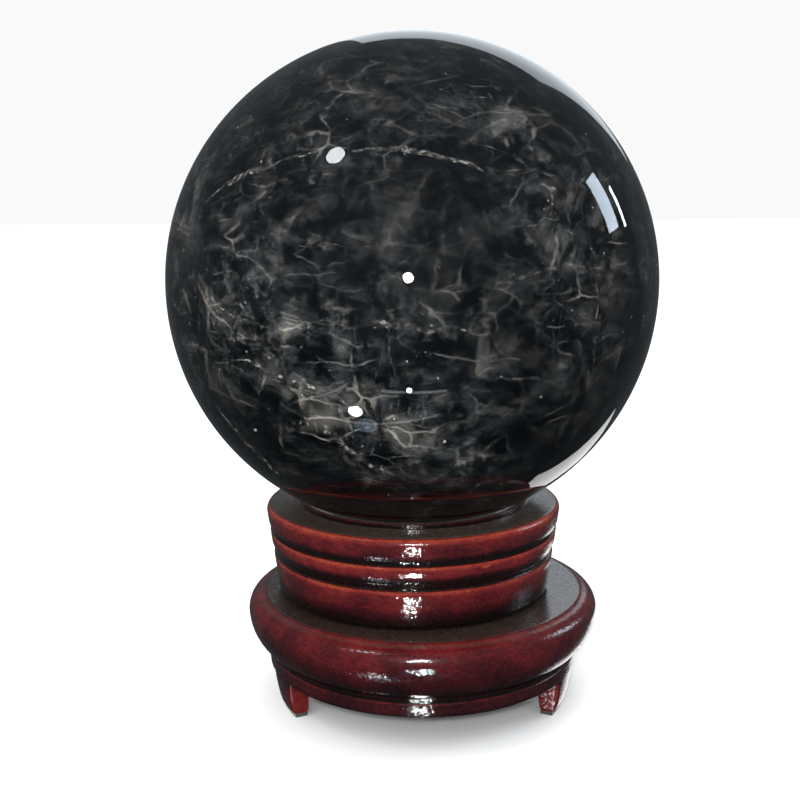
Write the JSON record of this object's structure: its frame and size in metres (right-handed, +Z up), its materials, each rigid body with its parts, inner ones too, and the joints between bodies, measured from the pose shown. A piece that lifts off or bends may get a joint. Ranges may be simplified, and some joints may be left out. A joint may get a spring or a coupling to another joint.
{
  "type": "crystal ball on turning stand",
  "caption": "Polished dark quartz ball resting in a turned red lacquered wooden cup that spins on a round footed base.",
  "frame": {"origin": "on the floor, straight below the centre of the ball", "axes": "+Z up along the turning axis of the cup, -Y towards the viewer's side, +X to the viewer's right"},
  "size_m": [0.15, 0.15, 0.207],
  "materials": {
    "smoky_quartz": "polished smoky quartz with veils",
    "seat_felt": "thin pressed felt",
    "red_lacquer": "glossy red lacquer shaded dark in the grooves",
    "dark_lacquer": "glossy dark red lacquer",
    "brass": "machined",
    "pressed_steel": "pressed sheet",
    "bearing_steel": "polished",
    "zinc_steel": "bright zinc plate",
    "nylon": "moulded",
    "foot_felt": "felt"
  },
  "bodies": {
    "base": {"base_block": "red_lacquer", "pivot_bush": "nylon", "lower_race": "pressed_steel", "lower_race_screws": "zinc_steel", "plinth_ring": "dark_lacquer", "foot_left": "red_lacquer", "foot_right": "red_lacquer", "foot_back": "red_lacquer", "foot_screws": "zinc_steel", "foot_pad_left": "foot_felt", "foot_pad_right": "foot_felt", "foot_pad_back": "foot_felt"},
    "turning_cup": {"cup": "red_lacquer", "seat_felt_ring": "seat_felt", "thread_insert": "brass", "upper_race": "pressed_steel", "upper_race_screws": "zinc_steel", "pivot_bolt": "zinc_steel", "flat_washer": "zinc_steel", "wave_washer": "zinc_steel"},
    "ball_carrier": {"bearing_cage": "brass", "bearing_balls": "bearing_steel"},
    "ball": {"crystal_ball": "smoky_quartz"}
  },
  "joints": [
    {"name": "cup_turn", "type": "hinge", "parent": "base", "child": "turning_cup", "pos_m": [0, 0, 0.036], "axis": [0, 0, 1], "continuous": true},
    {"name": "carrier_turn", "type": "hinge", "parent": "base", "child": "ball_carrier", "pos_m": [0, 0, 0.036], "axis": [0, 0, 1], "continuous": true},
    {"name": "ball_lift", "type": "slide", "parent": "turning_cup", "child": "ball", "axis": [0, 0, 1], "range_m": [0, 0.16]}
  ],
  "couplings": [
    {"joint": "carrier_turn", "follows": "cup_turn", "ratio": 0.5}
  ]
}
